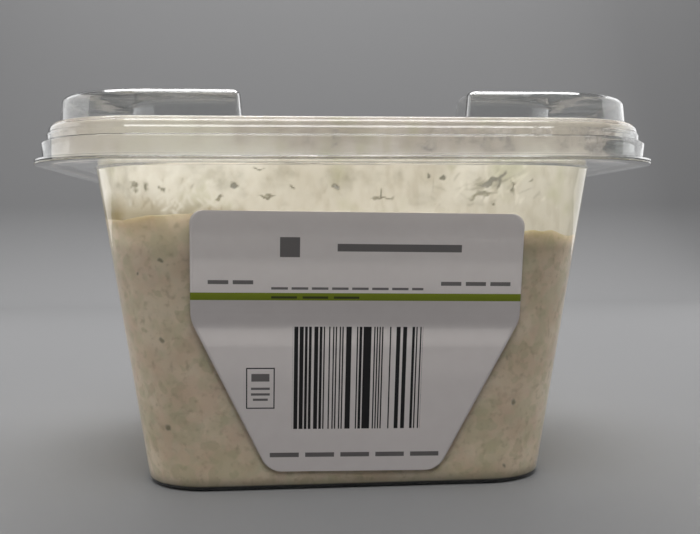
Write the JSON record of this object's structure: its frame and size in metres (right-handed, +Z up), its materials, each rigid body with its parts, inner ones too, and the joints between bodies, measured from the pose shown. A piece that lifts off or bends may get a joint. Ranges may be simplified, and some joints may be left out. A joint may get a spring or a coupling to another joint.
{
  "type": "lidded tub of coleslaw",
  "caption": "Square tapered clear deli tub filled with creamy chopped coleslaw, shut by a clear press-on lid with hollow stacking lugs, plain paper label on the front.",
  "frame": {"origin": "middle of the underside of the tub, on the surface it stands on", "axes": "+Z up, -Y towards the front wall with the label, +X to the right seen from the front"},
  "size_m": [0.16, 0.16, 0.1016],
  "materials": {
    "tub_pet": "clear thermoformed PET, glossy",
    "lid_pet": "clear thermoformed PET, glossy",
    "coleslaw": "moist chopped cabbage in creamy dressing",
    "label_paper": "semi-matt coated white paper"
  },
  "bodies": {
    "root": {"tub": "tub_pet", "lid": "lid_pet", "coleslaw": "coleslaw", "label": "label_paper"}
  },
  "joints": []
}
